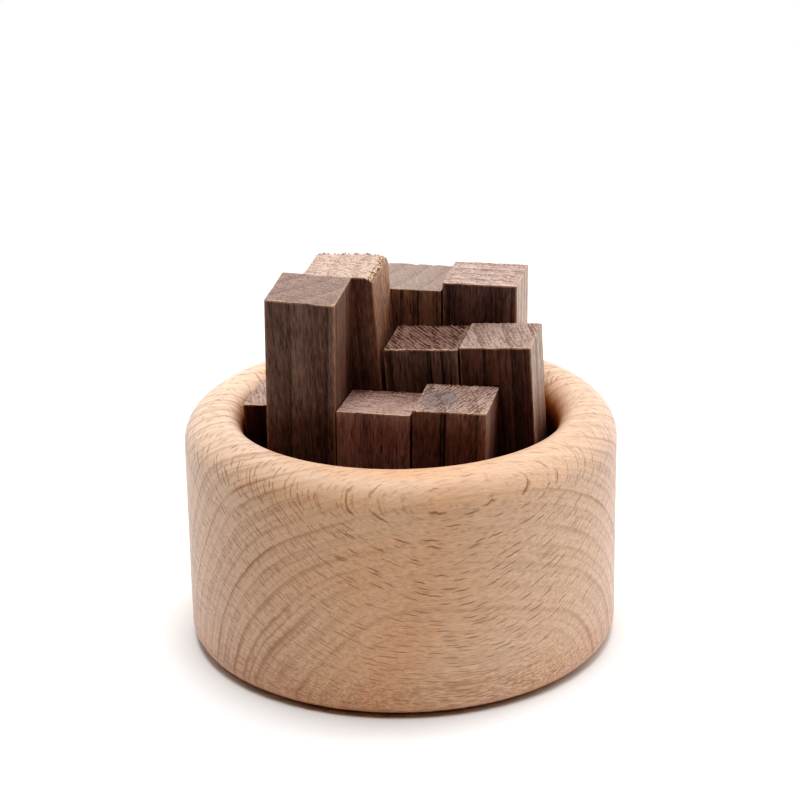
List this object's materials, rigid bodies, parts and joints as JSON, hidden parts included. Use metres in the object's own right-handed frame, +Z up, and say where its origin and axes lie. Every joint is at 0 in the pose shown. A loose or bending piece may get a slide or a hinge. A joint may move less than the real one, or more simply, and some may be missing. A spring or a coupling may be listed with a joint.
{
  "type": "wooden stick puzzle",
  "caption": "Turned beech cup with a rounded lip, holding a bundle of loose square walnut sticks of different lengths, each of which lifts out.",
  "frame": {"origin": "centre of the cup's base", "axes": "+Z up along the cup's axis, +X along the rows of sticks, -Y towards the front row"},
  "size_m": [0.06, 0.06, 0.0533],
  "materials": {
    "beech": "turned and sanded steamed beech, bare, with growth rings, fine ray flecks and a satin surface",
    "walnut": "planed and sawn walnut, bare, with dark pores and streaks along the grain and rough sawn end grain"
  },
  "bodies": {
    "cup": {"cup": "beech"},
    "stick_front_left": {"stick_front_left": "walnut"},
    "stick_front_middle": {"stick_front_middle": "walnut"},
    "stick_front_right": {"stick_front_right": "walnut"},
    "stick_middle_far_left": {"stick_middle_far_left": "walnut"},
    "stick_middle_left": {"stick_middle_left": "walnut"},
    "stick_middle_right": {"stick_middle_right": "walnut"},
    "stick_middle_far_right": {"stick_middle_far_right": "walnut"},
    "stick_back_left": {"stick_back_left": "walnut"},
    "stick_back_middle": {"stick_back_middle": "walnut"},
    "stick_back_right": {"stick_back_right": "walnut"}
  },
  "joints": [
    {"name": "lift_front_left", "type": "slide", "parent": "cup", "child": "stick_front_left", "axis": [0.0157, 0, 0.9999], "range_m": [0, 0.032]},
    {"name": "lift_front_middle", "type": "slide", "parent": "cup", "child": "stick_front_middle", "axis": [0.0157, 0, 0.9999], "range_m": [0, 0.032]},
    {"name": "lift_front_right", "type": "slide", "parent": "cup", "child": "stick_front_right", "axis": [0.0262, 0, 0.9997], "range_m": [0, 0.032]},
    {"name": "lift_middle_far_left", "type": "slide", "parent": "cup", "child": "stick_middle_far_left", "axis": [-0.0698, 0, 0.9976], "range_m": [0, 0.032]},
    {"name": "lift_middle_left", "type": "slide", "parent": "cup", "child": "stick_middle_left", "axis": [-0.0698, 0, 0.9976], "range_m": [0, 0.032]},
    {"name": "lift_middle_right", "type": "slide", "parent": "cup", "child": "stick_middle_right", "axis": [-0.0558, 0, 0.9984], "range_m": [0, 0.032]},
    {"name": "lift_middle_far_right", "type": "slide", "parent": "cup", "child": "stick_middle_far_right", "axis": [-0.0471, 0, 0.9989], "range_m": [0, 0.032]},
    {"name": "lift_back_left", "type": "slide", "parent": "cup", "child": "stick_back_left", "axis": [0.0035, 0, 1], "range_m": [0, 0.032]},
    {"name": "lift_back_middle", "type": "slide", "parent": "cup", "child": "stick_back_middle", "axis": [0.0035, 0, 1], "range_m": [0, 0.032]},
    {"name": "lift_back_right", "type": "slide", "parent": "cup", "child": "stick_back_right", "axis": [0.0105, 0, 0.9999], "range_m": [0, 0.032]}
  ]
}
